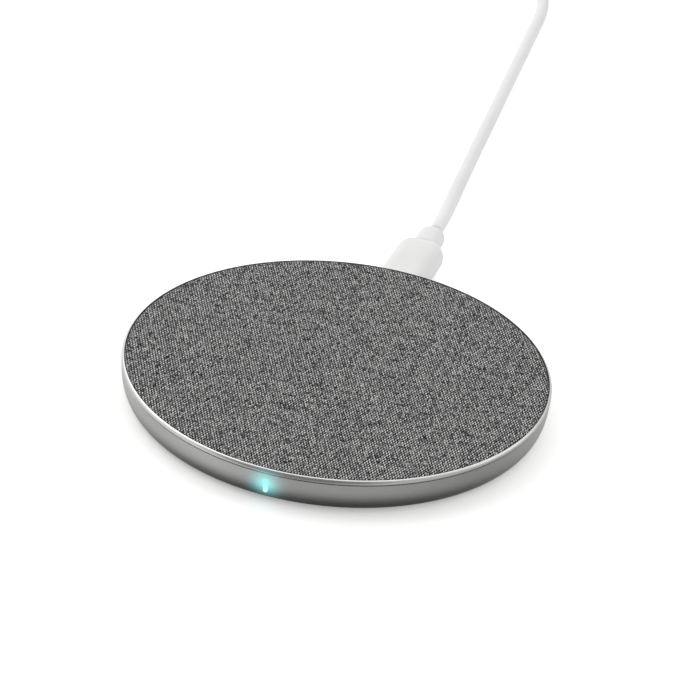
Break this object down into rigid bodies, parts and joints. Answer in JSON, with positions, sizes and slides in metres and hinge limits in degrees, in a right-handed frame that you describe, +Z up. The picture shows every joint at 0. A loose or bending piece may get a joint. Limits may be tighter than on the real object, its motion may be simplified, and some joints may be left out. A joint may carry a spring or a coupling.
{
  "type": "wireless charging pad",
  "caption": "Round low charging pad with a woven top, satin metal rim, light slot and a lead that unplugs and ends in a USB-A plug.",
  "frame": {"origin": "on the table, under the pad's axis", "axes": "+Z up out of the woven top; +Y out of the socket, the way the plug pulls; the light slot faces -Y"},
  "size_m": [0.1033, 0.3451, 0.008],
  "materials": {
    "rim_metal": "satin, fine bead-blasted and anodised",
    "dark_plastic": "fine spark texture",
    "foot_rubber": "matt silicone rubber",
    "screw_steel": "zinc-plated",
    "inner_plastic": "plain moulded, hidden",
    "woven_top": "fine plain weave of mixed dark and pale yarns",
    "adhesive": "double-sided sheet",
    "copper_litz": "enamelled litz wire",
    "ferrite": "sintered, dark grey",
    "shield_aluminium": "plain sheet",
    "gap_pad": "soft silicone gap pad",
    "board_green": "solder mask over fibreglass",
    "chip_black": "moulded package",
    "chip_ceramic": "fired ceramic with tinned ends",
    "socket_steel": "nickel-plated sheet",
    "insulator_black": "moulded",
    "insulator_white": "moulded",
    "contact_gold": "gold-plated spring strip",
    "grip_white": "soft-touch moulding, satin",
    "cord_jacket": "smooth satin jacket",
    "tie_strap": "hook-and-loop strap",
    "led_body": "reflector housing",
    "light_window": "clear bar, lit cyan"
  },
  "bodies": {
    "pad": {"rim_housing": "rim_metal", "base_cover": "dark_plastic", "non_slip_ring": "foot_rubber", "cover_screws": "screw_steel", "carrier_plate": "inner_plastic", "fabric_disc": "woven_top", "fabric_adhesive": "adhesive", "transmit_coil": "copper_litz", "coil_leads": "copper_litz", "coil_adhesive": "adhesive", "ferrite_disc": "ferrite", "shield_plate": "shield_aluminium", "thermal_pad": "gap_pad", "temperature_sensor": "chip_black", "circuit_board": "board_green", "controller_chip": "chip_black", "power_transistors": "chip_black", "input_inductor": "ferrite", "resonance_capacitors": "chip_ceramic", "bulk_capacitors": "chip_ceramic", "chip_resistors": "chip_black", "chip_capacitors": "chip_ceramic", "crystal": "socket_steel", "sense_resistor": "chip_black", "indicator_led": "led_body", "light_pipe": "light_window", "usb_socket_shell": "socket_steel", "usb_socket_tongue": "insulator_black", "usb_socket_contacts": "contact_gold"},
    "cable": {"plug_shell": "socket_steel", "plug_insert": "insulator_black", "plug_contacts": "contact_gold", "plug_inner_mould": "insulator_white", "plug_overmould": "grip_white", "cord_tube": "cord_jacket", "cord_coil": "cord_jacket", "cord_tail": "cord_jacket", "coil_tie": "tie_strap", "usb_a_shell": "socket_steel", "usb_a_tongue": "insulator_white", "usb_a_contacts": "contact_gold", "usb_a_inner_mould": "insulator_white", "usb_a_overmould": "grip_white"}
  },
  "joints": [
    {"name": "cable_unplug", "type": "slide", "parent": "pad", "child": "cable", "axis": [0, 1, 0], "range_m": [0, 0.012]}
  ]
}
